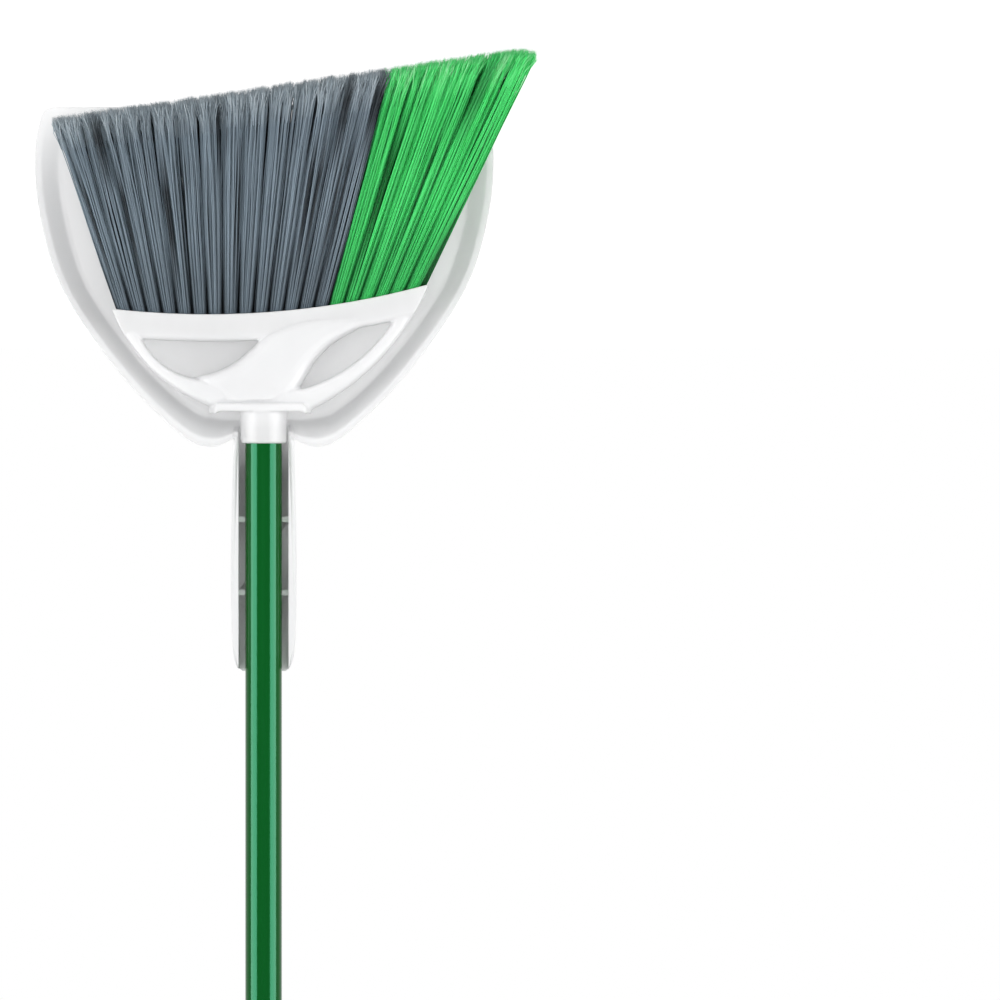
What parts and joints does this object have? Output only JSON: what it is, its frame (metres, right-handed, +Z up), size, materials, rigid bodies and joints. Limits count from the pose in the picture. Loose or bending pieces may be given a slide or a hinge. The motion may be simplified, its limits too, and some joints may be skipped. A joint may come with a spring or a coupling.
{
  "type": "angled floor broom with dustpan",
  "caption": "Angled floor broom: a painted steel handle screwed into a white moulded head with fanned grey and green bristles, and a white dustpan whose channel handle clips to the stick.",
  "frame": {"origin": "centre of the hanging hole in the cap at the top of the handle", "axes": "+Z up along the handle, bristles at the bottom; +Y through the hanging hole, from the front of the broom to the dustpan clipped on behind; +X to the right of someone who faces the front, the green bristles at -X"},
  "size_m": [0.3265, 0.0545, 1.4289],
  "materials": {
    "green_paint": "glossy dark green paint on a thin steel tube",
    "green_plastic": "satin moulded plastic in the handle's green",
    "white_plastic": "satin white moulded polypropylene",
    "steel_wire": "bright drawn flat wire",
    "grey_bristle": "blue-grey crimped filament with frayed paler tips",
    "green_bristle": "bright green crimped filament with frayed paler tips"
  },
  "bodies": {
    "handle": {"handle_tube": "green_paint", "hanger_cap": "green_plastic", "thread_tip": "white_plastic"},
    "head": {"broom_head": "white_plastic", "tuft_staples": "steel_wire", "grey_tuft_front_01": "grey_bristle", "grey_tuft_front_02": "grey_bristle", "grey_tuft_front_03": "grey_bristle", "grey_tuft_front_04": "grey_bristle", "grey_tuft_front_05": "grey_bristle", "grey_tuft_front_06": "grey_bristle", "grey_tuft_front_07": "grey_bristle", "grey_tuft_front_08": "grey_bristle", "grey_tuft_front_09": "grey_bristle", "grey_tuft_front_10": "grey_bristle", "grey_tuft_front_11": "grey_bristle", "grey_tuft_front_12": "grey_bristle", "grey_tuft_front_13": "grey_bristle", "grey_tuft_front_14": "grey_bristle", "green_tuft_front_01": "green_bristle", "green_tuft_front_02": "green_bristle", "green_tuft_front_03": "green_bristle", "green_tuft_front_04": "green_bristle", "green_tuft_front_05": "green_bristle", "green_tuft_front_06": "green_bristle", "grey_tuft_back_01": "grey_bristle", "grey_tuft_back_02": "grey_bristle", "grey_tuft_back_03": "grey_bristle", "grey_tuft_back_04": "grey_bristle", "grey_tuft_back_05": "grey_bristle", "grey_tuft_back_06": "grey_bristle", "grey_tuft_back_07": "grey_bristle", "grey_tuft_back_08": "grey_bristle", "grey_tuft_back_09": "grey_bristle", "grey_tuft_back_10": "grey_bristle", "grey_tuft_back_11": "grey_bristle", "grey_tuft_back_12": "grey_bristle", "grey_tuft_back_13": "grey_bristle", "grey_tuft_back_14": "grey_bristle", "green_tuft_back_01": "green_bristle", "green_tuft_back_02": "green_bristle", "green_tuft_back_03": "green_bristle", "green_tuft_back_04": "green_bristle", "green_tuft_back_05": "green_bristle", "green_tuft_back_06": "green_bristle"},
    "pan": {"dustpan": "white_plastic"}
  },
  "joints": [
    {"name": "head_unscrew", "type": "hinge", "parent": "handle", "child": "head", "pos_m": [0, 0, -1.16], "axis": [0, 0, -1], "range_deg": [0, 1890]},
    {"name": "dustpan_unclip", "type": "slide", "parent": "head", "child": "pan", "axis": [0, 1, 0], "range_m": [0, 0.12]}
  ]
}
